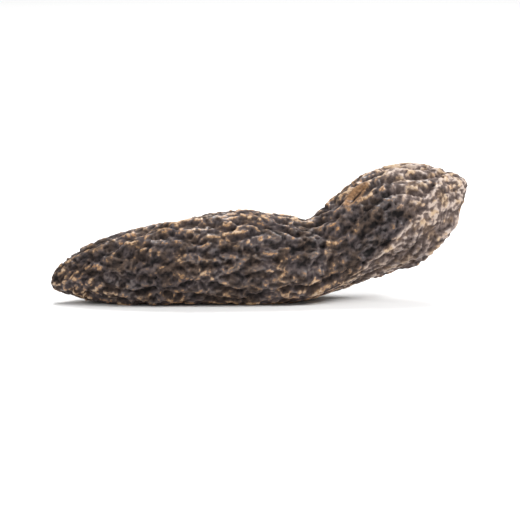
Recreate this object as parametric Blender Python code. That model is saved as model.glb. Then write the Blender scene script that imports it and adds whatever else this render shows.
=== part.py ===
"""Tonka bean: one dried, wrinkled seed, lying on its back edge with its beak end raised.

Run with: blender --background --python part.py

The long axis runs along +X towards the beak, +Y points away from the viewer and +Z is up. The origin is
under the middle of the bean, on the surface that it rests on.
"""

import math

import bmesh
import bpy
import numpy as np
from mathutils import Vector, noise

MM = 0.001

# Driving dimensions, in millimetres
LENGTH = 33.2  # from end to end, seen from the side
HALF_HEIGHT = 3.9  # of the ellipse that the side view is drawn from
HALF_THICKNESS = 3.4  # the same, seen from above
BEAK_RISE = 7.7  # height of the beak's tip above the blunt end's tip
TURN_AWAY = 3.4  # how far the beak end turns away from the viewer
EDGE_SOFTNESS = 0.06  # how rounded the rims of the flattened back edge are, as a share of the section
REST_DEPTH = 0.33  # how much the resting spot is worn flat

# The wrinkled skin
FOLD_PITCH = (1.05, 1.75)  # least and most from crest to crest, round the bean
FOLD_HEIGHT = 0.38
FOLD_REACH = 2.6  # length along the bean over which a fold keeps its line
FOLD_SPREAD = 1.5  # the same, round the bean
FOLD_SWAY = 24.0  # degrees that a fold may lean from the bean's length
FOLD_COUNT = 620  # wavelets that the folds are summed from
WAVER = 0.5  # how far slow noise pushes the folds off their line
WAVER_SIZE = 3.0  # size of the bends that it puts into them
WAVER_SEED = 20
FOLDS_ON_EDGE = 0.55  # share of their height that the folds keep on the flattened back edge
LUMP_HEIGHT = 0.42
LUMP_SIZE = 6.5
SEED = 7

# The scar where the seed hung in its pod
SCAR_ALONG = 0.773  # share of the length
SCAR_ROUND = -52.0  # degrees round from the belly edge, towards the viewer
SCAR_TURN = 14.0  # degrees that its long axis leans from the bean's length
SCAR_LENGTH = 2.2
SCAR_WIDTH = 0.9
SCAR_DEPTH = 0.20
SCAR_RIM = 0.15  # height of the raised rim round the scar

# The mesh
RINGS = 74
POINTS_ROUND = 76

# Stations along the middle line: share of the length, then up, away (as shares of the rise and the turn),
# fullness of the height and of the thickness against the plain ellipse, where the back edge is flattened,
# twist of the whole section and tilt of the flattened edge, both in degrees towards the viewer
STATIONS = np.array(
    [
        # along   up     away   high   thick  back  twist tilt
        [0.000, 0.000, 0.000, 1.000, 0.900, 0.96, 0.0, 0.0],
        [0.110, 0.088, 0.030, 0.950, 0.960, 0.94, 0.0, 0.0],
        [0.220, 0.136, 0.070, 0.950, 1.000, 0.92, 0.0, 0.0],
        [0.340, 0.193, 0.120, 0.995, 1.020, 0.90, 0.0, 0.0],
        [0.460, 0.219, 0.180, 1.017, 1.010, 0.89, 1.0, 0.0],
        [0.560, 0.222, 0.250, 0.945, 0.990, 0.88, 5.0, 0.0],
        [0.640, 0.240, 0.350, 0.900, 0.980, 0.85, 13.0, 2.0],
        [0.740, 0.430, 0.520, 1.190, 1.020, 0.80, 23.0, 10.0],
        [0.850, 0.698, 0.730, 1.500, 1.120, 0.76, 29.0, 22.0],
        [0.940, 0.890, 0.890, 1.480, 1.020, 0.76, 31.0, 25.0],
        [1.000, 1.000, 1.000, 0.950, 0.760, 0.80, 32.0, 25.0],
    ]
)


def smooth(along):
    """The stations' values at each share of the length, on curves that pass through every station."""
    knots, values = STATIONS[:, 0], STATIONS[:, 1:]
    slopes = np.gradient(values, knots, axis=0)
    low = np.clip(np.searchsorted(knots, along) - 1, 0, len(knots) - 2)
    step = (knots[low + 1] - knots[low])[:, None]
    u = (along[:, None] - knots[low][:, None]) / step
    return (
        (2 * u**3 - 3 * u**2 + 1) * values[low]
        + (u**3 - 2 * u**2 + u) * step * slopes[low]
        + (3 * u**2 - 2 * u**3) * values[low + 1]
        + (u**3 - u**2) * step * slopes[low + 1]
    ).T


def middle_line(along):
    """Points on the bean's middle line."""
    up, away, *_ = smooth(along)
    return np.stack([LENGTH * (along - 0.5), TURN_AWAY * away, BEAK_RISE * up], axis=1)


def unit(vectors):
    return vectors / np.linalg.norm(vectors, axis=1, keepdims=True)


def back_edge(along, round_angle):
    """How far each point is pressed in by the flattened back edge, as a share of the section."""
    _, _, _, _, back, _, tilt = smooth(along)
    reach = np.cos(round_angle - np.radians(tilt))
    return EDGE_SOFTNESS * np.logaddexp(reach / EDGE_SOFTNESS, -back / EDGE_SOFTNESS) - reach


def surface(along, round_angle):
    """Points of the smooth bean. round_angle is 0 on the belly edge, and negative on the viewer's side."""
    _, _, high, thick, _, twist, tilt = smooth(along)
    ring = np.sqrt(np.clip(1 - (2 * along - 1) ** 2, 0, 1))
    tilt, twist = np.radians(tilt), np.radians(twist)
    pressed = back_edge(along, round_angle)
    belly = (np.cos(round_angle) + pressed * np.cos(tilt)) * HALF_HEIGHT * high * ring
    side = (np.sin(round_angle) + pressed * np.sin(tilt)) * HALF_THICKNESS * thick * ring
    belly, side = belly * np.cos(twist) - side * np.sin(twist), belly * np.sin(twist) + side * np.cos(twist)
    step = 0.05
    tangent = unit(middle_line(np.minimum(along + step, 1)) - middle_line(np.maximum(along - step, 0)))
    across = unit(np.array([0, 1, 0]) - tangent * tangent[:, 1:2])
    upward = np.cross(tangent, across)
    return middle_line(along) + upward * belly[:, None] + across * side[:, None]


def slow_noise(points, size, seed):
    """One number in about -1 to 1 for each point, which changes over this size."""
    shift = Vector((seed, 2 * seed, 3 * seed))
    return np.array([noise.noise(Vector(point / size) + shift) for point in points])


def folds(points):
    """Height of the lengthwise folds, from 0 in a furrow to 1 on a crest.

    Each wavelet is a patch of stripes that run along the bean. Only the phase of their sum is kept, so the
    folds are equally strong all over, and fork and join where two patches disagree.
    """
    push = [slow_noise(points, WAVER_SIZE, WAVER_SEED + axis) for axis in range(3)]
    points = points + WAVER * np.stack(push, axis=1)
    draw = np.random.default_rng(SEED)
    along = draw.uniform(0.01, 0.99, FOLD_COUNT)
    angle = draw.uniform(-math.pi, math.pi, FOLD_COUNT)
    sway = np.radians(draw.uniform(-FOLD_SWAY, FOLD_SWAY, FOLD_COUNT))
    phase = draw.uniform(0, 2 * math.pi, FOLD_COUNT)
    pitch = FOLD_PITCH[0] * (FOLD_PITCH[1] / FOLD_PITCH[0]) ** draw.uniform(0, 1, FOLD_COUNT)
    small = 0.01
    centres = surface(along, angle)
    lengthwise = unit(surface(np.minimum(along + small, 1), angle) - surface(np.maximum(along - small, 0), angle))
    crosswise = unit(surface(along, angle + small) - surface(along, angle - small))
    lean_along = lengthwise * np.cos(sway)[:, None] + crosswise * np.sin(sway)[:, None]
    lean_across = crosswise * np.cos(sway)[:, None] - lengthwise * np.sin(sway)[:, None]
    total = np.zeros(len(points), complex)
    for centre, forward, sideways, start, width in zip(centres, lean_along, lean_across, phase, pitch):
        away = points - centre
        far, wide = away @ forward, away @ sideways
        depth = np.einsum("ij,ij->i", away, away) - far**2 - wide**2
        weight = np.exp(-((far / FOLD_REACH) ** 2) - (wide**2 + depth) / FOLD_SPREAD**2)
        total += weight * np.exp(1j * (2 * math.pi * wide / width + start))
    strength = np.abs(total)
    firm = 1 - np.exp(-((strength / (0.3 * strength.mean())) ** 2))
    return 1 - firm * (1 - np.abs(np.cos(np.angle(total) / 2)))


def scar(along, round_angle):
    """Where each point lies in the scar's oval: 0 in its middle, 1 at its rim and more outside."""
    far = (along - SCAR_ALONG) * LENGTH * 1.12
    wide = (round_angle - math.radians(SCAR_ROUND)) * HALF_THICKNESS * 1.1
    turn = math.radians(SCAR_TURN)
    far, wide = far * math.cos(turn) + wide * math.sin(turn), wide * math.cos(turn) - far * math.sin(turn)
    return np.sqrt((far / (SCAR_LENGTH / 2)) ** 2 + (wide / (SCAR_WIDTH / 2)) ** 2)


def relief(points, along, round_angle):
    """How far each point of the skin stands out from the smooth bean.

    The two tips, the flattened back edge and the skin round the scar are calmer than the rest.
    """
    inland = np.clip(np.minimum(along, 1 - along) / 0.06, 0, 1)
    flattened = np.clip(back_edge(along, round_angle) / 0.03 - 1, 0, 1)
    oval = scar(along, round_angle)
    calm = (0.25 + 0.75 * inland) * (1 - (1 - FOLDS_ON_EDGE) * flattened) * (1 - np.exp(-((oval / 1.7) ** 4)))
    skin = FOLD_HEIGHT * (folds(points) - 0.6) * calm
    swelling = LUMP_HEIGHT * slow_noise(points, LUMP_SIZE, 0) * inland
    rim = SCAR_RIM * np.exp(-(((oval - 1.15) / 0.28) ** 2))
    return skin + swelling + rim - SCAR_DEPTH * np.exp(-(oval**4))


def make_bean():
    """The bean as one object, from a UV sphere whose poles become its two ends."""
    mesh = bpy.data.meshes.new("tonka_bean")
    form = bmesh.new()
    bmesh.ops.create_uvsphere(form, u_segments=POINTS_ROUND, v_segments=RINGS, radius=1)
    form.to_mesh(mesh)
    form.free()
    ball = np.empty(len(mesh.vertices) * 3)
    mesh.vertices.foreach_get("co", ball)
    ball = ball.reshape(-1, 3)
    along = np.clip((1 + ball[:, 2]) / 2, 0, 1)
    round_angle = np.arctan2(-ball[:, 1], ball[:, 0])
    points = surface(along, round_angle)
    mesh.vertices.foreach_set("co", (points * MM).ravel())
    mesh.update()
    normals = np.empty(len(points) * 3)
    mesh.vertex_normals.foreach_get("vector", normals)
    outward = normals.reshape(-1, 3)
    points = points + outward * relief(points, along, round_angle)[:, None]
    points[:, 2] = np.maximum(points[:, 2] - points[:, 2].min() - REST_DEPTH, 0)
    points[:, :2] -= (points[:, :2].max(0) + points[:, :2].min(0)) / 2
    mesh.vertices.foreach_set("co", (points * MM).ravel())
    mesh.update()
    mesh.shade_smooth()
    return mesh


def dried_skin():
    """The skin's finish: near black with a waxy sheen."""
    material = bpy.data.materials.new("dried_skin")
    material.use_nodes = True
    finish = material.node_tree.nodes["Principled BSDF"]
    finish.inputs["Base Color"].default_value = (0.065, 0.045, 0.037, 1)
    finish.inputs["Roughness"].default_value = 0.5
    finish.inputs["Metallic"].default_value = 0.0
    return material


def main():
    for old in list(bpy.data.objects):
        bpy.data.objects.remove(old)
    seeds = bpy.data.collections.new("Tonka bean")
    bpy.context.scene.collection.children.link(seeds)
    mesh = make_bean()
    mesh.materials.append(dried_skin())
    seeds.objects.link(bpy.data.objects.new("tonka_bean", mesh))


main()
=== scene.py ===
# %% [markdown]
# # A dried tonka bean
# One tonka bean lies on a white table. It is a seed that shrank as it dried, so its skin is pressed into
# long folds, and finer crinkles run over them. This lesson dresses a plain solid of the bean with that
# skin. The solid is loaded first. It gives the size and the place that the finished skin has to keep.

import math

import bpy
import numpy as np
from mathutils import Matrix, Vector, noise


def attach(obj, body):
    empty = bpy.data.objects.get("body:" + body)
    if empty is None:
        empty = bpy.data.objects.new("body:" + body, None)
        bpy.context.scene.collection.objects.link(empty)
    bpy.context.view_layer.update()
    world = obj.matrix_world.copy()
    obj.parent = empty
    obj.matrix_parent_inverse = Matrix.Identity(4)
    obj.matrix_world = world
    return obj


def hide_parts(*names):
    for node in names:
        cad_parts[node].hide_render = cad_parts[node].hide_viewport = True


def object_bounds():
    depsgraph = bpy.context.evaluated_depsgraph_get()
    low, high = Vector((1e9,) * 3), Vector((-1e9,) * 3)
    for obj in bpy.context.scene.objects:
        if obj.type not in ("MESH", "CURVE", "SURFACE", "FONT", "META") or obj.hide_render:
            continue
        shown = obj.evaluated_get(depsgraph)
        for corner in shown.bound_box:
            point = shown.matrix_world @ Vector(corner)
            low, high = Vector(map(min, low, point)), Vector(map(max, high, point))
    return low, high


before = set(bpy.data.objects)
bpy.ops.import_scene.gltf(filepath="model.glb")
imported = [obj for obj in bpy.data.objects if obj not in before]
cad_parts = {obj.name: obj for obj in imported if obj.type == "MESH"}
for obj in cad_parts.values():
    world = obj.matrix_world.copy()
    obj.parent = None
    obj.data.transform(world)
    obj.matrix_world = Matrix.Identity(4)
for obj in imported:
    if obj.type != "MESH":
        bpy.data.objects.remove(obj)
cad_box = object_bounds()
MM = 0.001
print("solid:", [round((high - low) / MM, 1) for low, high in zip(*cad_box)], "mm")

# %% [markdown]
# ## The smooth bean
# Under its wrinkles the bean is a long ellipse with a bend. Its back edge is flattened, and near the
# beak the whole section twists. It could be sculpted, but a rule is easier to change: stations along the
# middle line say how high, how thick and how twisted the section is there, and a smooth curve joins them.

# %% Stations along the middle line
LENGTH = 33.2  # millimetres, as are all the sizes here
HALF_HEIGHT = 3.9
HALF_THICKNESS = 3.4
BEAK_RISE = 7.7
TURN_AWAY = 3.4

STATIONS = np.array(
    [
        # along   up     away   high   thick  back  twist tilt
        [0.000, 0.000, 0.000, 1.000, 0.900, 0.96, 0.0, 0.0],
        [0.110, 0.088, 0.030, 0.950, 0.960, 0.94, 0.0, 0.0],
        [0.220, 0.136, 0.070, 0.950, 1.000, 0.92, 0.0, 0.0],
        [0.340, 0.193, 0.120, 0.995, 1.020, 0.90, 0.0, 0.0],
        [0.460, 0.219, 0.180, 1.017, 1.010, 0.89, 1.0, 0.0],
        [0.560, 0.222, 0.250, 0.945, 0.990, 0.88, 5.0, 0.0],
        [0.640, 0.240, 0.350, 0.900, 0.980, 0.85, 13.0, 2.0],
        [0.740, 0.430, 0.520, 1.190, 1.020, 0.80, 23.0, 10.0],
        [0.850, 0.698, 0.730, 1.500, 1.120, 0.76, 29.0, 22.0],
        [0.940, 0.890, 0.890, 1.480, 1.020, 0.76, 31.0, 25.0],
        [1.000, 1.000, 1.000, 0.950, 0.760, 0.80, 32.0, 25.0],
    ]
)


def smooth(along):
    """The stations' values at each share of the length, on curves that pass through every station."""
    knots, values = STATIONS[:, 0], STATIONS[:, 1:]
    slopes = np.gradient(values, knots, axis=0)
    low = np.clip(np.searchsorted(knots, along) - 1, 0, len(knots) - 2)
    step = (knots[low + 1] - knots[low])[:, None]
    u = (along[:, None] - knots[low][:, None]) / step
    return (
        (2 * u**3 - 3 * u**2 + 1) * values[low]
        + (u**3 - 2 * u**2 + u) * step * slopes[low]
        + (3 * u**2 - 2 * u**3) * values[low + 1]
        + (u**3 - u**2) * step * slopes[low + 1]
    ).T


def middle_line(along):
    """Points on the bean's middle line."""
    up, away, *_ = smooth(along)
    return np.stack([LENGTH * (along - 0.5), TURN_AWAY * away, BEAK_RISE * up], axis=1)


tips = middle_line(np.array([0.0, 1.0]))
print(len(STATIONS), "stations from", tips[0].round(1), "to", tips[1].round(1), "mm")

# %% The section at each station
EDGE_SOFTNESS = 0.06  # how rounded the rims of the flattened back edge are, as a share of the section


def unit(vectors):
    return vectors / np.linalg.norm(vectors, axis=1, keepdims=True)


def back_edge(along, round_angle):
    """How far each point is pressed in by the flattened back edge, as a share of the section."""
    _, _, _, _, back, _, tilt = smooth(along)
    reach = np.cos(round_angle - np.radians(tilt))
    return EDGE_SOFTNESS * np.logaddexp(reach / EDGE_SOFTNESS, -back / EDGE_SOFTNESS) - reach


def surface(along, round_angle):
    """Points of the smooth bean. round_angle is 0 on the belly edge, and negative on the viewer's side."""
    _, _, high, thick, _, twist, tilt = smooth(along)
    ring = np.sqrt(np.clip(1 - (2 * along - 1) ** 2, 0, 1))
    tilt, twist = np.radians(tilt), np.radians(twist)
    pressed = back_edge(along, round_angle)
    belly = (np.cos(round_angle) + pressed * np.cos(tilt)) * HALF_HEIGHT * high * ring
    side = (np.sin(round_angle) + pressed * np.sin(tilt)) * HALF_THICKNESS * thick * ring
    belly, side = belly * np.cos(twist) - side * np.sin(twist), belly * np.sin(twist) + side * np.cos(twist)
    step = 0.05  # the line's direction is taken from this far on either side
    tangent = unit(middle_line(np.minimum(along + step, 1)) - middle_line(np.maximum(along - step, 0)))
    across = unit(np.array([0, 1, 0]) - tangent * tangent[:, 1:2])
    upward = np.cross(tangent, across)
    return middle_line(along) + upward * belly[:, None] + across * side[:, None]


all_round = np.radians(np.arange(0, 360, 4))
middle_section = surface(np.full(len(all_round), 0.5), all_round)
print("middle section:", np.ptp(middle_section, axis=0).round(1), "mm")

# %% [markdown]
# ## A fine net of points
# Fine wrinkles need small faces. A UV sphere has them in neat rings from pole to pole, so its poles
# become the two ends of the bean and its rings follow the middle line. Each point remembers how far
# along and how far round it lies, because the folds and the colours are worked out from that.

# %% The sphere that becomes the skin
ROWS, COLUMNS = ((390, 254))
CROWDING = 0.4  # 0 spaces the rings evenly, 1 crowds them towards the tips as on a ball


def skin_sphere():
    """A sphere of fine rings, with each point's share of the length and its angle round the bean."""
    bpy.ops.mesh.primitive_uv_sphere_add(segments=COLUMNS, ring_count=ROWS, radius=1)
    sphere = bpy.context.object
    sphere.name = sphere.data.name = "wrinkled_skin"
    ball = np.empty(len(sphere.data.vertices) * 3)
    sphere.data.vertices.foreach_get("co", ball)
    ball = ball.reshape(-1, 3)
    even = np.arcsin(np.clip(ball[:, 2], -1, 1)) / (math.pi / 2)
    from_middle = (1 - CROWDING) * even + CROWDING * ball[:, 2]
    return sphere, (1 + from_middle) / 2, np.arctan2(-ball[:, 1], ball[:, 0])


def vertex_normals(points):
    """Outward normals of the skin's mesh once its points are moved there."""
    skin.data.vertices.foreach_set("co", points.ravel())
    skin.data.update()
    normals = np.empty(len(points) * 3)
    skin.data.vertex_normals.foreach_get("vector", normals)
    return normals.reshape(-1, 3)


skin, along, round_angle = skin_sphere()
smooth_points = surface(along, round_angle)
outward = vertex_normals(smooth_points)
print("points on the skin:", len(along))

# %% [markdown]
# ## Long folds
# A drying seed shrinks inside its skin, and the skin buckles into folds that run along it, fork and
# join. Noise alone gives blobs, and stripes alone are too regular. So many small patches of stripes are
# laid over the bean, each a little askew and of its own width, and only the phase of their sum is kept.
# The folds are then equally strong all over, with a fork wherever two patches disagree. Each one has a
# round crest and a sharp furrow.

# %% Slow noise
WAVER_SIZE, WAVER = 3.0, 0.5


def slow_noise(points, size, seed):
    """One number in about -1 to 1 for each point, which changes over this size."""
    shift = Vector((seed, 2 * seed, 3 * seed))
    return np.array([noise.noise(Vector(point / size) + shift) for point in points])


def wavered(points, size, amount, seed):
    """The points pushed about by slow noise, so that no fold runs straight for long."""
    return points + amount * np.stack([slow_noise(points, size, seed + axis) for axis in range(3)], axis=1)


wavy_points = wavered(smooth_points, WAVER_SIZE, WAVER, seed=20)
print("points wavered by up to", np.abs(wavy_points - smooth_points).max().round(2), "mm")

# %% Folds from patches of stripes
WINDOW = 2.4  # a patch is left out further away than this many times its reach
FADED = 6  # and where the exponent that fades it is above this
WEAK = 0.3  # folds flatten out where the sum is weaker than this share of its mean


def patch_directions(place, angle, lean):
    """Middles of patches on the bean, and unit vectors along and across their stripes."""
    small = 0.01
    ahead, behind = surface(np.minimum(place + small, 1), angle), surface(np.maximum(place - small, 0), angle)
    lengthwise = unit(ahead - behind)
    crosswise = unit(surface(place, angle + small) - surface(place, angle - small))
    forwards = lengthwise * np.cos(lean)[:, None] + crosswise * np.sin(lean)[:, None]
    sideways = crosswise * np.cos(lean)[:, None] - lengthwise * np.sin(lean)[:, None]
    return surface(place, angle), forwards, sideways


def folds(points, pitch, reach, spread, sway, count, seed):
    """Height of folds, from 0 in a furrow to 1 on a crest, from a count of patches of stripes.

    pitch is the least and the most from crest to crest. A patch fades over its reach along the stripes
    and its spread across them, and leans from the bean's length by up to sway degrees.
    """
    draw = np.random.default_rng(seed)
    place = draw.uniform(0.01, 0.99, count)
    angle = draw.uniform(-math.pi, math.pi, count)
    lean = np.radians(draw.uniform(-sway, sway, count))
    phase = draw.uniform(0, 2 * math.pi, count)
    pitches = pitch[0] * (pitch[1] / pitch[0]) ** draw.uniform(0, 1, count)
    centres, forwards, sideways = patch_directions(place, angle, lean)
    total = np.zeros(len(points), complex)
    order = np.argsort(points[:, 0])
    lined_up = points[order]
    ends = np.searchsorted(lined_up[:, 0], centres[:, :1] + [-WINDOW * reach, WINDOW * reach])
    for centre, forward, across, start, width, (first, last) in zip(
        centres, forwards, sideways, phase, pitches, ends
    ):
        offset = lined_up[first:last] - centre
        far, wide = offset @ forward, offset @ across
        depth = np.einsum("ij,ij->i", offset, offset) - far**2 - wide**2
        fading = (far / reach) ** 2 + (wide**2 + depth) / spread**2
        felt = np.flatnonzero(fading < FADED)
        total[first + felt] += np.exp(1j * (2 * math.pi * wide[felt] / width + start) - fading[felt])
    strength = np.abs(total)
    firm = 1 - np.exp(-((strength / (WEAK * strength.mean())) ** 2))
    height = np.empty(len(points))
    height[order] = 1 - firm * (1 - np.abs(np.cos(np.angle(total) / 2)))
    return height


long_folds = folds(wavy_points, pitch=(1.05, 1.75), reach=2.6, spread=1.5, sway=24, count=620, seed=7)
print("long folds: crests fill", round(float((long_folds > 0.5).mean()), 2), "of the skin")

# %% [markdown]
# ## Crinkles and creases
# Between the long folds the skin is crumpled, and it has to look so from close up too. The same rule
# makes this. Shorter patches that lean any way give crinkles, which break the long folds into knobs, and
# the shortest give creases. Both share one fine waver, so that they bend together.

# %% Finer wrinkles between the folds
crooked = wavered(smooth_points, size=1.2, amount=0.22, seed=30)
crinkles = folds(crooked, pitch=(0.60, 1.10), reach=0.90, spread=0.6, sway=62, count=4400, seed=11)
creases = folds(crooked, pitch=(0.30, 0.52), reach=0.6, spread=0.4, sway=75, count=9000, seed=23)
for name, wrinkles in {"crinkles": crinkles, "creases": creases}.items():
    print(name + ": crests fill", round(float((wrinkles > 0.5).mean()), 2), "of the skin")

# %% [markdown]
# ## The scar
# Near the beak is the scar where the seed hung in its pod: a small oval dish with a raised rim and a
# narrow slit. It could be cut in with a second mesh. A number on each point is simpler, because it
# serves the relief and the colours alike: how far the point lies from the middle of the oval.

# %% Distance from the scar
SCAR_ALONG = 0.773  # share of the length
SCAR_ROUND, SCAR_TURN = -52.0, 14.0  # degrees round the bean, and degrees that the oval leans
SCAR_LENGTH, SCAR_WIDTH = 2.2, 0.90
SLIT_LENGTH, SLIT_WIDTH = 1.5, 0.24
STRETCH_ALONG, STRETCH_ROUND = 1.12, 1.1  # the skin there against the plain length and radius


def from_scar(length, width):
    """Where each point lies in an oval on the scar's middle: 0 there, 1 on its rim and more outside."""
    far = (along - SCAR_ALONG) * LENGTH * STRETCH_ALONG
    wide = (round_angle - math.radians(SCAR_ROUND)) * HALF_THICKNESS * STRETCH_ROUND
    turn = math.radians(SCAR_TURN)
    far, wide = far * math.cos(turn) + wide * math.sin(turn), wide * math.cos(turn) - far * math.sin(turn)
    return np.sqrt((far / (length / 2)) ** 2 + (wide / (width / 2)) ** 2)


scar = from_scar(SCAR_LENGTH, SCAR_WIDTH)
slit = from_scar(SLIT_LENGTH, SLIT_WIDTH)
print("points in the scar:", int((scar < 1).sum()), "and in its slit:", int((slit < 1).sum()))

# %% [markdown]
# ## Raise the relief
# Each point moves along its normal by the sum of the folds, the crinkles, the creases, the scar and a
# slow noise that swells and dents the seed. Folds and crinkles are lower at the tips and on the
# flattened edge, as on the real seed. Crinkles come in patches, with stronger creases between them, and
# all three fade out round the scar.

# %% Where the wrinkles are weaker
TIP = 0.06  # share of the length over which the wrinkles fade at each end
SCAR_CALM = 1.7  # they fade out inside this many times the scar's size
PRESSED_IN = 0.03  # pressed in by twice this share of the section, a point is on the flattened edge
FOLDS_AT_TIP, FOLDS_ON_EDGE = 0.25, 0.55  # shares that are left there
CRINKLES_AT_TIP, CRINKLES_ON_EDGE = 0.35, 0.70
CRINKLES_ANYWHERE = 0.4  # share of a crinkle that needs no patch
PATCH_SIZE, PATCH_LEAST = 2.8, 0.15


def at_least(least, amount):
    """The amount, which runs from 0 to 1, squeezed into the range from least to 1."""
    return least + (1 - least) * amount


inland = np.clip(np.minimum(along, 1 - along) / TIP, 0, 1)
calm = 1 - np.exp(-((scar / SCAR_CALM) ** 4))
facet = np.clip(back_edge(along, round_angle) / PRESSED_IN - 1, 0, 1)
patches = np.clip(0.55 + 1.3 * slow_noise(smooth_points, PATCH_SIZE, 40), PATCH_LEAST, 1)
folded = calm * at_least(FOLDS_AT_TIP, inland) * at_least(FOLDS_ON_EDGE, 1 - facet)
crumpled = calm * at_least(CRINKLES_AT_TIP, inland) * at_least(CRINKLES_ON_EDGE, 1 - facet)
crumpled *= at_least(CRINKLES_ANYWHERE, patches)
creased = calm * (1 + PATCH_LEAST - patches)
print("flattened edge fills", round(float(facet.mean()), 2), "of the skin")

# %% Raise the wrinkles on the smooth bean
FOLD_HEIGHT, CRINKLE_HEIGHT, CREASE_HEIGHT = 0.38, 0.21, 0.07
STILL = 0.6  # a point this high on a fold stays where it was
LUMP_HEIGHT, LUMP_SIZE = 0.42, 6.5
SCAR_DEPTH, SLIT_DEPTH = 0.20, 0.16
SCAR_RIM, RIM_PLACE, RIM_WIDTH = 0.15, 1.15, 0.28  # its height, then its place and width in scar sizes

height = FOLD_HEIGHT * (long_folds - STILL) * folded
height -= CRINKLE_HEIGHT * (1 - crinkles) * crumpled + CREASE_HEIGHT * (1 - creases) * creased
height += LUMP_HEIGHT * slow_noise(smooth_points, LUMP_SIZE, 0) * inland
height += SCAR_RIM * np.exp(-(((scar - RIM_PLACE) / RIM_WIDTH) ** 2))
height -= SCAR_DEPTH * np.exp(-(scar**4)) + SLIT_DEPTH * np.exp(-(slit**4))
points = smooth_points + outward * height[:, None]
print("relief from", round(float(height.min()), 2), "to", round(float(height.max()), 2), "mm")

# %% [markdown]
# ## Into the solid's place
# The skin has to lie where the solid lies. Both come from the same rule, so it is enough to line up
# their boxes: the top first, then what would sink into the table is worn flat, and then the sides.

# %% Line the skin up with the solid
cad_low, cad_high = (np.array(corner) / MM for corner in cad_box)
points[:, 2] = np.maximum(points[:, 2] - points[:, 2].max() + cad_high[2], 0)
low, high = points.min(0), points.max(0)
fit = (cad_high - cad_low) / (high - low)
points = (points - low) * fit + cad_low
skin.data.vertices.foreach_set("co", (points * MM).ravel())
skin.data.update()
print("fitted to the solid by", fit.round(3))

# %% [markdown]
# ## Numbers that the colours need
# The colours follow the shape: dark in the furrows, partly as painted shade, and pale on the crests, partly
# worn and partly as painted highlight. They are paler at the beak end, partly its own paler skin and partly
# painted light on its upper side, and on the flattened edge, with painted highlight just inside its rim and
# painted shade just outside. The mesh knows all this, so each point gets a few numbers that the material
# reads back. Its height is kept as a rank, since a rank fills the range from 0 to 1 evenly.

# %% Crests, worn edges and the pale end
FOLD_SHARE, CRINKLE_SHARE, CREASE_SHARE = 0.26, 0.48, 0.26  # what counts towards a crest
WORN_FROM, WORN_OVER = 0.40, 0.50  # how near to the belly or back edge, as a cosine, the skin is rubbed
BLUNT_END = 0.20  # share of the length that is rubbed at the blunt end
BEAK_FROM, BEAK_OVER = 0.80, 0.16  # where the rubbing starts at the beak end, and over what it grows
RUBBED_EDGES, RUBBED_BLUNT, RUBBED_BEAK = 0.8, 0.21, 0.35
PALE_SLOPE, PALE_FROM, PALE_OVER = 0.77, 16.6, 1.6  # the pale end's border: x + slope * z, in millimetres


def share_below(values):
    """For each point, the share of the skin that lies lower: 0 in the deepest furrow, 1 on the top crest."""
    return np.argsort(np.argsort(values)) / (len(values) - 1)


rise = share_below(FOLD_SHARE * long_folds + CRINKLE_SHARE * crinkles + CREASE_SHARE * creases)
edges = np.clip((np.abs(np.cos(round_angle)) - WORN_FROM) / WORN_OVER, 0, 1)
blunt = np.clip((BLUNT_END - along) / BLUNT_END, 0, 1)
beak = np.clip((along - BEAK_FROM) / BEAK_OVER, 0, 1)
rubbed = np.clip(RUBBED_EDGES * edges + RUBBED_BLUNT * blunt + RUBBED_BEAK * beak, 0, 1)
# Paler at the upper right of the beak end: partly the skin's own colour, partly painted light on the side
# that faces the key light.
pale_end = np.clip((points[:, 0] + PALE_SLOPE * points[:, 2] - PALE_FROM) / PALE_OVER, 0, 1)
print("pale end fills", round(float(pale_end.mean()), 2), "of the skin")

# %% Painted highlight and painted shade along the rim of the flattened edge
# A band just inside the rim is painted highlight.
RIM_INSIDE, RIM_INSIDE_WIDTH = -0.80, 0.22  # from the middle of the flattened edge, whose rims are -1 and 1
# A band just outside the rim is darkened as painted shade.
RIM_OUTSIDE, RIM_OUTSIDE_WIDTH = -1.30, 0.24


def band(middle, width):
    """1 on a line that runs beside the flattened edge's rim, fading over this width, and 0 on the belly."""
    _, _, _, _, back, _, tilt = smooth(along)
    turned = round_angle - np.radians(tilt)
    across_back = np.sin(turned) / np.sqrt(1 - back**2)
    return np.exp(-(((across_back - middle) / width) ** 2)) * (np.cos(turned) < 0)


def store(name, values):
    """Keeps a number for each point of the skin, for the nodes to read."""
    skin.data.attributes.new(name, "FLOAT", "POINT").data.foreach_set("value", values.astype(np.float32))


for name, values in {
    "rise": rise,
    "along": along,
    "facet": facet,
    "near_rim": band(RIM_INSIDE, RIM_INSIDE_WIDTH),
    "beside_rim": band(RIM_OUTSIDE, RIM_OUTSIDE_WIDTH),
    "scar": scar,
    "slit": slit,
    "calm": calm,
    "rubbed": rubbed,
    "pale_end": pale_end,
}.items():
    store(name, values)
print("stored:", [a.name for a in skin.data.attributes if a.data_type == "FLOAT"])

# %% [markdown]
# ## Sockets that read as sums
# Node trees are hard to read as a list of links. The small class below wraps a socket, so that
# `1 - crest * 0.5` adds its Math nodes by itself. Every other node comes from its one method.


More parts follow.
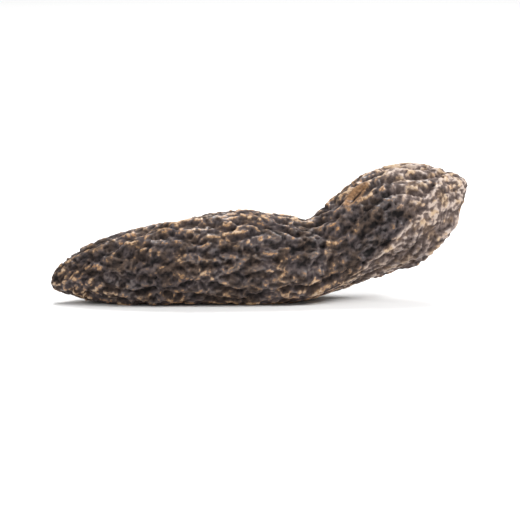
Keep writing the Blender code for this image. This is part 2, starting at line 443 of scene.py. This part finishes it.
# %% A wire between nodes
class Wire:
    """An output socket in the node tree that is being made. Sums on wires become Math nodes."""

    tree = None

    def __init__(self, socket):
        self.socket = socket

    @classmethod
    def node(cls, kind, settings=(), inputs=(), output=0):
        """Adds a node: its settings first, then the values or wires of its input sockets."""
        made = cls.tree.nodes.new(kind)
        for name, value in dict(settings).items():
            if name == "stops":
                ramp = made.color_ramp.elements
                while len(ramp) < len(value):
                    ramp.new(0.5)
                for stop, (position, colour) in zip(ramp, value):
                    stop.position, stop.color = position, (*colour, 1)
            else:
                setattr(made, name, value)
        for name, value in dict(inputs).items():
            if isinstance(value, Wire):
                cls.tree.links.new(value.socket, made.inputs[name])
            else:
                made.inputs[name].default_value = value
        return cls(made.outputs[output])

    @classmethod
    def maths(cls, operation, *values):
        return cls.node("ShaderNodeMath", {"operation": operation}, enumerate(values))

    def __add__(self, other):
        return Wire.maths("ADD", self, other)

    def __radd__(self, other):
        return Wire.maths("ADD", other, self)

    def __sub__(self, other):
        return Wire.maths("SUBTRACT", self, other)

    def __rsub__(self, other):
        return Wire.maths("SUBTRACT", other, self)

    def __mul__(self, other):
        return Wire.maths("MULTIPLY", self, other)

    def __rmul__(self, other):
        return Wire.maths("MULTIPLY", other, self)

    def __truediv__(self, other):
        return Wire.maths("DIVIDE", self, other)

    def __rtruediv__(self, other):
        return Wire.maths("DIVIDE", other, self)

    def between(self, low, high):
        """0 below low, 1 above high, and a smooth step from one to the other."""
        return Wire.node(
            "ShaderNodeMapRange",
            {"interpolation_type": "SMOOTHSTEP"},
            {"Value": self, "From Min": low, "From Max": high},
        )

    def feeds(self, node, name):
        """Links this wire to an input of a node that is there already."""
        Wire.tree.links.new(self.socket, node.inputs[name])


print("sums ready:", [name for name in vars(Wire) if name.startswith("__r")])

# %% [markdown]
# ## The finest net
# Between the crinkles the dried skin is cracked into a net of tiny pads, finer than any fold. They
# follow the surface, so Geometry Nodes make them: a Voronoi texture gives the distance to the net's
# lines, and each point sinks along its normal where a line runs. A modifier keeps the sizes as inputs.

# %% The net as a Geometry Nodes tree
DRIFT_SCALE, DRIFT = 900.0, 0.6 * MM  # noise that keeps the pads uneven: waves to the metre, and reach
GROOVE = 0.22  # share of a pad over which it rises from the net's lines


def pad_heights(given):
    """How high each point lies on its pad: 0 on the net's lines, 1 on top."""
    place = Wire.node("GeometryNodeInputPosition")
    drift = Wire.node(
        "ShaderNodeTexNoise",
        {"noise_dimensions": "4D"},
        {"Vector": place, "W": given["Seed"], "Scale": DRIFT_SCALE, "Detail": 2.0},
        "Color",
    )
    drift = Wire.node("ShaderNodeVectorMath", {"operation": "SCALE"}, {0: drift, "Scale": DRIFT})
    place = Wire.node("ShaderNodeVectorMath", {"operation": "ADD"}, {0: place, 1: drift})
    squeeze = Wire.node("ShaderNodeCombineXYZ", (), {"X": 1.0 / given["Pad length"], "Y": 1.0, "Z": 1.0})
    place = Wire.node("ShaderNodeVectorMath", {"operation": "MULTIPLY"}, {0: place, 1: squeeze})
    cells = Wire.node(
        "ShaderNodeTexVoronoi",
        {"voronoi_dimensions": "4D", "feature": "DISTANCE_TO_EDGE"},
        {"Vector": place, "W": given["Seed"], "Scale": 1.0 / given["Pad size"]},
        "Distance",
    )
    return cells.between(0.0, GROOVE)


def skin_net():
    """A tree that presses a net of fine lines into a mesh and keeps its height as an attribute."""
    tree = bpy.data.node_groups.new("skin net", "GeometryNodeTree")
    tree.interface.new_socket("Geometry", in_out="INPUT", socket_type="NodeSocketGeometry")
    for name in ("Pad size", "Pad length", "Net depth", "Seed"):
        tree.interface.new_socket(name, in_out="INPUT", socket_type="NodeSocketFloat")
    tree.interface.new_socket("Skin", in_out="INPUT", socket_type="NodeSocketMaterial")
    tree.interface.new_socket("Geometry", in_out="OUTPUT", socket_type="NodeSocketGeometry")
    Wire.tree = tree
    given = {socket.name: Wire(socket) for socket in tree.nodes.new("NodeGroupInput").outputs}
    pad = pad_heights(given)
    calm = Wire.node("GeometryNodeInputNamedAttribute", {"data_type": "FLOAT"}, {"Name": "calm"})
    sink = (pad - 1) * given["Net depth"] * calm
    normal = Wire.node("GeometryNodeInputNormal")
    offset = Wire.node("ShaderNodeVectorMath", {"operation": "SCALE"}, {0: normal, "Scale": sink})
    kept = Wire.node(
        "GeometryNodeStoreNamedAttribute",
        {"data_type": "FLOAT", "domain": "POINT"},
        {"Geometry": given["Geometry"], "Name": "pads", "Value": pad},
    )
    moved = Wire.node("GeometryNodeSetPosition", (), {"Geometry": kept, "Offset": offset})
    realized = Wire.node("GeometryNodeRealizeInstances", (), {"Geometry": moved})
    dressed = Wire.node("GeometryNodeSetMaterial", (), {"Geometry": realized, "Material": given["Skin"]})
    dressed.feeds(tree.nodes.new("NodeGroupOutput"), "Geometry")
    return tree


net = skin_net()
sockets = {item.name: item.identifier for item in net.interface.items_tree if item.in_out == "INPUT"}
print("net tree:", len(net.nodes), "nodes, inputs", list(sockets))

# %% [markdown]
# ## The finish
# Dried bean skin is near black in its furrows, partly as painted shade, grey brown on its sides, and tan and
# orange on its crests, partly worn and partly as painted highlight. The flattened edge near the beak is paler
# and a little pink, with painted highlight just inside its rim and painted shade just outside it. The upper
# side of the beak end is paler too, partly its own colour and partly painted light. A scar of bare tan shows
# there too. All of it is waxy, so the highlights are broad and soft. One number, the tone, says how pale each
# point is, from wear and from painted light and shade, and a colour ramp turns it into a colour. Four ramps
# take turns in patches of noise, so that no one colour covers the bean evenly.

# %% Colours for each tone
# Low tones, in the furrows, are dark partly as painted shade; the top tones, on the crests, are pale partly
# from wear and partly as painted highlight.
BROWN = (
    (0.00, (0.007, 0.005, 0.005)),
    (0.18, (0.024, 0.016, 0.013)),
    (0.50, (0.057, 0.038, 0.029)),
    (0.71, (0.100, 0.065, 0.046)),
    (0.83, (0.290, 0.165, 0.078)),
    (1.00, (0.520, 0.385, 0.262)),
)
MAUVE = (
    (0.00, (0.007, 0.006, 0.006)),
    (0.18, (0.028, 0.022, 0.022)),
    (0.50, (0.066, 0.051, 0.051)),
    (0.76, (0.112, 0.081, 0.070)),
    (0.88, (0.300, 0.150, 0.062)),
    (1.00, (0.460, 0.300, 0.170)),
)
PINK = (
    (0.00, (0.010, 0.007, 0.007)),
    (0.16, (0.044, 0.031, 0.028)),
    (0.45, (0.094, 0.069, 0.061)),
    (0.72, (0.168, 0.125, 0.110)),
    (1.00, (0.460, 0.365, 0.305)),
)
SANDY = (
    (0.00, (0.010, 0.007, 0.006)),
    (0.16, (0.044, 0.030, 0.024)),
    (0.45, (0.097, 0.066, 0.051)),
    (0.72, (0.186, 0.126, 0.088)),
    (1.00, (0.460, 0.330, 0.218)),
)
SCAR_DARK, SCAR_PALE = (0.15, 0.080, 0.040, 1), (0.31, 0.175, 0.088, 1)
SLIT_COLOUR = (0.016, 0.011, 0.009, 1)
print("ramps:", {"brown": len(BROWN), "mauve": len(MAUVE), "pink": len(PINK), "sandy": len(SANDY)})


# %% Nodes that the finish is made of
def stored(name):
    """One of the numbers that were stored on the skin's points."""
    return Wire.node("ShaderNodeAttribute", {"attribute_name": name}, (), "Fac")


def mix(factor, first, second):
    """The first colour where the factor is 0, and the second where it is 1."""
    return Wire.node("ShaderNodeMix", {"data_type": "RGBA"}, {0: factor, 6: first, 7: second}, 2)


def shades(tone, stops):
    """A colour for each tone, from 0 in the furrows to 1 on the crests."""
    return Wire.node("ShaderNodeValToRGB", {"stops": stops}, {"Fac": tone}, "Color")


def clouds(size, detail=3.0, rough=0.55):
    """Noise from about 0 to 1 with patches of this size in millimetres."""
    return Wire.node(
        "ShaderNodeTexNoise",
        (),
        {
            "Vector": Wire.node("ShaderNodeTexCoord", (), (), "Object"),
            "Scale": 1 / (size * MM),
            "Detail": detail,
            "Roughness": rough,
        },
        "Fac",
    )


print("noise with patches of 1 mm has scale", 1 / MM)

# %% How worn the skin is, and its colour
CREST_WEIGHT = 0.86  # what makes up the tone: the height first
FINE_WEIGHT, SLOW_WEIGHT = 1.15, 0.6  # then fine and slow mottling
RUBBED_WEIGHT, PALE_WEIGHT, SHADE_WEIGHT = 0.17, 0.19, 0.14  # then wear, the pale end with its painted light, and the painted shade beside the rim
TONE_SHIFT = 0.01
FLAT_LIFT, PALE_DROP, RIM_HIGHLIGHT_LIFT = 0.07, 0.03, 0.30  # how the pale ramps' tone differs from the dark ones'; the last is painted highlight inside the rim
LOBE_FROM, LOBE_FULL = 0.62, 0.78  # share of the length where the raised beak end begins
SCAR_RAGGED = 0.9  # how far noise moves the scar's outline, in scar sizes


def skin_tone(crest, facet, flat, pale_end, lobe):
    """0 where the skin is darkest, partly as painted shade, and 1 where it is palest, partly worn and partly
    as painted highlight and painted light.
    """
    fine = (clouds(0.42, 5.0, 0.72) - 0.5) * FINE_WEIGHT
    slow = (clouds(3.2, 1.0) - 0.5) * SLOW_WEIGHT
    worn = stored("rubbed") * (1 - flat * 0.5) * RUBBED_WEIGHT
    # The pale end lifts the tone: partly its own paler skin, partly painted light.
    pale = pale_end * (1 - facet * 0.8) * PALE_WEIGHT
    # Painted shade beside the rim lowers the tone.
    shaded = stored("beside_rim") * lobe * (1 - pale_end) * SHADE_WEIGHT
    return crest * CREST_WEIGHT + fine + slow + worn + pale - shaded + TONE_SHIFT


def scar_colours(colour, tone):
    """The colour, with the bare tan scar and its dark slit on it."""
    ragged = stored("scar") + (clouds(0.45) - 0.5) * SCAR_RAGGED
    bare = (1 - ragged.between(1.05, 1.4)) * (tone + 0.2).between(0.2, 0.6)
    tan = mix(clouds(0.22, 2.0).between(0.35, 0.65), SCAR_DARK, SCAR_PALE)
    in_slit = (1 - stored("slit").between(0.7, 1.3)) * 0.9
    return mix(in_slit, mix(bare, colour, tan), SLIT_COLOUR)


def skin_colour(crest):
    """Brown and mauve skin, pink and sandy at the pale end and on the flattened edge, with painted highlight
    inside its rim, and the scar.
    """
    lobe = stored("along").between(LOBE_FROM, LOBE_FULL)
    facet, pale_end, rim_highlight = stored("facet"), stored("pale_end"), stored("near_rim") * lobe
    flat = facet * lobe
    tone = skin_tone(crest, facet, flat, pale_end, lobe)
    dark = mix(clouds(1.3).between(0.40, 0.60), shades(tone, BROWN), shades(tone, MAUVE))
    # Inside the rim the tone is lifted and the pale ramps take over: painted highlight.
    pale_tone = tone + flat * FLAT_LIFT - PALE_DROP + rim_highlight * RIM_HIGHLIGHT_LIFT
    light = mix(clouds(1.0, 2.0).between(0.50, 0.62), shades(pale_tone, PINK), shades(pale_tone, SANDY))
    pale = Wire.maths("MAXIMUM", flat, pale_end) * clouds(1.4, 2.0).between(0.25, 0.45)
    pale = Wire.maths("MAXIMUM", pale, rim_highlight.between(0.2, 0.6))
    return scar_colours(mix(pale, dark, light), tone)


print("tone of a rubbed crest, but for mottling:", round(CREST_WEIGHT + RUBBED_WEIGHT + TONE_SHIFT, 2))

# %% The skin's material
PADS_SHARE = 0.15  # how much of a crest's height comes from the net of pads
WAX = 0.9  # coat weight where the wax is thickest
GRAIN_SIZE, GRAIN_DEPTH = 0.16, 0.07 * MM  # in millimetres, and in metres as the Bump node wants it


def skin_material():
    """Dark wrinkled skin with a coat of wax on its crests."""
    material = bpy.data.materials.new("dried_skin")
    material.use_nodes = True
    Wire.tree = material.node_tree
    shader = material.node_tree.nodes["Principled BSDF"]
    for name, value in {
        "Metallic": 0.0,
        "IOR": 1.45,
        "Specular IOR Level": 0.2,
        "Coat Roughness": 0.30,
        "Coat IOR": 1.5,
    }.items():
        shader.inputs[name].default_value = value
    crest = stored("rise") * (1 - PADS_SHARE) + stored("pads") * PADS_SHARE
    wax = crest.between(0.45, 0.80) * clouds(2.6).between(0.38, 0.60) * WAX
    rough = 0.45 + clouds(0.5).between(0.3, 0.7) * 0.18 + (1 - crest.between(0.2, 0.7)) * 0.2
    grain = clouds(GRAIN_SIZE, 4.0, 0.65)
    bump = Wire.node("ShaderNodeBump", (), {"Strength": 1.0, "Distance": GRAIN_DEPTH, "Height": grain})
    skin_colour(crest).feeds(shader, "Base Color")
    rough.feeds(shader, "Roughness")
    wax.feeds(shader, "Coat Weight")
    bump.feeds(shader, "Normal")
    print("finish:", len(material.node_tree.nodes), "nodes")
    return material


dried_skin = skin_material()

# %% [markdown]
# ## Press the net in
# The tree's sizes are set on the modifier by each socket's identifier, since names alone aren't enough
# there. The evaluated skin is then copied to a plain mesh, and the modifier goes, so that the finished
# piece is a mesh and nothing else.

# %% The finished skin as a plain mesh
modifier = skin.modifiers.new("skin net", "NODES")
modifier.node_group = net
for name, value in {
    "Pad size": 0.42 * MM,
    "Pad length": 1.6,
    "Net depth": 0.040 * MM,
    "Seed": 3.0,
    "Skin": dried_skin,
}.items():
    modifier[sockets[name]] = value
evaluated = skin.evaluated_get(bpy.context.evaluated_depsgraph_get())
finished = bpy.data.meshes.new_from_object(evaluated)
skin.modifiers.remove(modifier)
skin.data = finished
finished.shade_smooth()
finished.calc_loop_triangles()
print("skin:", len(finished.loop_triangles), "triangles,", [m.name for m in finished.materials])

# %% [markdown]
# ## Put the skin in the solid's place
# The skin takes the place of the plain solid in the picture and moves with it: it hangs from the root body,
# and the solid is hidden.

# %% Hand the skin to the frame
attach(skin, "root")
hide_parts("tonka_bean")
print(skin.name, "lies at", tuple(skin.location), "and stands for tonka_bean")

# %% [markdown]
# ## Table, light and camera
# The bean is shown on white, so the table is one wide plane that is lit until it is nearly white.
# Large soft lights give the waxy skin broad highlights, and the white table throws light back up
# under the bean. A long lens from a little above shows it nearly from the side.

# %% White table
TABLE_SIZE = 4
bpy.ops.mesh.primitive_plane_add(size=TABLE_SIZE)
table = bpy.context.object
table.name = "table"
white = bpy.data.materials.new("white_table")
white.use_nodes = True
white.node_tree.nodes["Principled BSDF"].inputs["Base Color"].default_value = (0.9, 0.9, 0.9, 1)
white.node_tree.nodes["Principled BSDF"].inputs["Roughness"].default_value = 0.6
table.data.materials.append(white)
print("table:", TABLE_SIZE, "m wide")

# %% Soft lights
LIT_HEIGHT = 0.005  # metres above the table
ROOM_LIGHT = 0.33


def soft_light(name, place, size, strength):
    """A square light of this size in metres that faces the bean."""
    lamp = bpy.data.lights.new(name, "AREA")
    lamp.shape, lamp.size, lamp.energy = "SQUARE", size, strength
    holder = bpy.data.objects.new(name, lamp)
    holder.location = place
    towards_bean = Vector((0, 0, LIT_HEIGHT)) - Vector(place)
    holder.rotation_euler = towards_bean.to_track_quat("-Z", "Y").to_euler()
    bpy.context.scene.collection.objects.link(holder)


soft_light("key", place=(0.20, -0.09, 0.20), size=0.10, strength=0.85)
soft_light("fill", place=(-0.20, -0.16, 0.20), size=0.16, strength=0.30)
soft_light("top", place=(0.00, 0.13, 0.26), size=0.16, strength=0.90)
world = bpy.data.worlds.new("studio")
bpy.context.scene.world = world
world.use_nodes = True
world.node_tree.nodes["Background"].inputs["Color"].default_value = (1, 1, 1, 1)
world.node_tree.nodes["Background"].inputs["Strength"].default_value = ROOM_LIGHT

# %% Camera
ELEVATION = 10  # degrees above the table
DISTANCE = 0.26
FRAME_WIDTH = 0.0415  # metres that the picture shows across at the bean
AIM_HEIGHT = 0.0032
SENSOR_WIDTH = 36

lens = bpy.data.cameras.new("camera")
lens.sensor_width = SENSOR_WIDTH
lens.lens = SENSOR_WIDTH * DISTANCE / FRAME_WIDTH
lens.clip_start = 0.01
camera = bpy.data.objects.new("camera", lens)
target = Vector((0, 0, AIM_HEIGHT))
rise_of_view = math.radians(ELEVATION)
camera.location = target + DISTANCE * Vector((0, -math.cos(rise_of_view), math.sin(rise_of_view)))
camera.rotation_euler = (target - camera.location).to_track_quat("-Z", "Y").to_euler()
bpy.context.scene.collection.objects.link(camera)
bpy.context.scene.camera = camera
bpy.context.scene.view_settings.view_transform = "Standard"
print("camera:", round(lens.lens), "mm lens,", ELEVATION, "degrees above the table")

# %% [markdown]
# ## The skin's size
# The skin may change the look of the solid, but not its size, since it was fitted to the solid's box.
